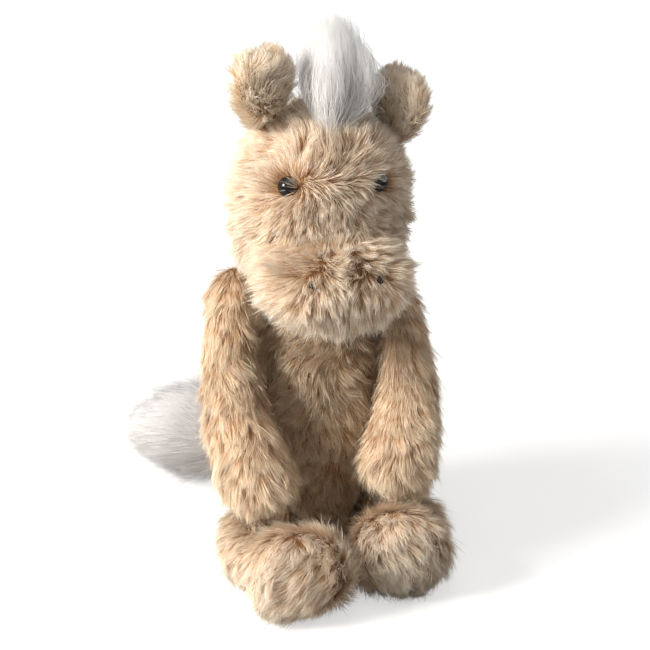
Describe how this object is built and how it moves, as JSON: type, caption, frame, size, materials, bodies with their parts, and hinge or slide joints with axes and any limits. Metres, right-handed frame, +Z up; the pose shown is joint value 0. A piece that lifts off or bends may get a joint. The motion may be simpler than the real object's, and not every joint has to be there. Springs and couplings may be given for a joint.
{
  "type": "plush horse",
  "caption": "Seated plush horse in long tan pile, with a turning and nodding head, swinging limbs, folding ears, bead eyes and a white pile forelock, mane and tail.",
  "frame": {"origin": "middle of the seated horse's bounding box, level with the flats that the seat and the feet rest on", "axes": "+Z up, -Y the way the horse faces, -X the horse's right side"},
  "size_m": [0.1232, 0.1746, 0.2283],
  "materials": {
    "tan_pile": "long soft pile, matte",
    "tan_lining": "long soft pile, matte",
    "white_pile": "long silky pile",
    "woven_backing": "knitted, matte",
    "fibre": "loose polyester fibre",
    "pellets": "loose pellets",
    "black_bead": "polished",
    "washer_plastic": "moulded",
    "dark_thread": "satin stitch"
  },
  "bodies": {
    "torso": {"body_cover": "tan_pile", "body_stuffing": "fibre", "seat_bean_bag": "pellets"},
    "neck": {"neck_cover": "tan_pile", "neck_stuffing": "fibre"},
    "head": {"head_cover": "tan_pile", "muzzle_cover": "tan_pile", "head_stuffing": "fibre", "right_eye": "black_bead", "left_eye": "black_bead", "right_eye_washer": "washer_plastic", "left_eye_washer": "washer_plastic", "right_nostril": "dark_thread", "left_nostril": "dark_thread", "forelock_pile": "white_pile", "forelock_backing": "woven_backing", "mane_pile": "white_pile", "mane_backing": "woven_backing"},
    "right_ear": {"right_ear_back": "tan_pile", "right_ear_lining": "tan_lining"},
    "left_ear": {"left_ear_back": "tan_pile", "left_ear_lining": "tan_lining"},
    "right_arm": {"right_arm_cover": "tan_pile", "right_arm_stuffing": "fibre", "right_paw_pellets": "pellets"},
    "left_arm": {"left_arm_cover": "tan_pile", "left_arm_stuffing": "fibre", "left_paw_pellets": "pellets"},
    "right_leg": {"right_leg_cover": "tan_pile", "right_leg_stuffing": "fibre", "right_foot_pellets": "pellets"},
    "left_leg": {"left_leg_cover": "tan_pile", "left_leg_stuffing": "fibre", "left_foot_pellets": "pellets"},
    "tail": {"tail_pile": "white_pile", "tail_core": "woven_backing"}
  },
  "joints": [
    {"name": "head_turn", "type": "hinge", "parent": "torso", "child": "neck", "pos_m": [0.01138, -0.00387, 0.126], "axis": [0, 0, 1], "range_deg": [-10, 10]},
    {"name": "head_nod", "type": "hinge", "parent": "neck", "child": "head", "pos_m": [0.01138, -0.00387, 0.126], "axis": [1, 0, 0], "range_deg": [-10, 4]},
    {"name": "right_arm_swing", "type": "hinge", "parent": "torso", "child": "right_arm", "pos_m": [-0.00912, -0.00487, 0.112], "axis": [0.9781, -0.2079, 0], "range_deg": [-50, 0]},
    {"name": "left_arm_swing", "type": "hinge", "parent": "torso", "child": "left_arm", "pos_m": [0.03187, -0.00487, 0.109], "axis": [0.9781, 0.2079, 0], "range_deg": [-50, 0]},
    {"name": "right_leg_swing", "type": "hinge", "parent": "torso", "child": "right_leg", "pos_m": [-0.00162, -0.01687, 0.015], "axis": [1, 0, 0], "range_deg": [0, 80]},
    {"name": "left_leg_swing", "type": "hinge", "parent": "torso", "child": "left_leg", "pos_m": [0.02438, -0.01687, 0.015], "axis": [1, 0, 0], "range_deg": [0, 80]},
    {"name": "right_ear_fold", "type": "hinge", "parent": "head", "child": "right_ear", "pos_m": [-0.01012, -0.01337, 0.18863], "axis": [0.7596, 0.1204, 0.6392], "range_deg": [-20, 20]},
    {"name": "left_ear_fold", "type": "hinge", "parent": "head", "child": "left_ear", "pos_m": [0.04036, -0.01337, 0.18082], "axis": [0.5472, -0.6048, -0.5786], "range_deg": [-20, 0]},
    {"name": "tail_sweep", "type": "hinge", "parent": "torso", "child": "tail", "pos_m": [0.01138, 0.03147, 0.0285], "axis": [0, 0, 1], "range_deg": [-114, 0]}
  ]
}
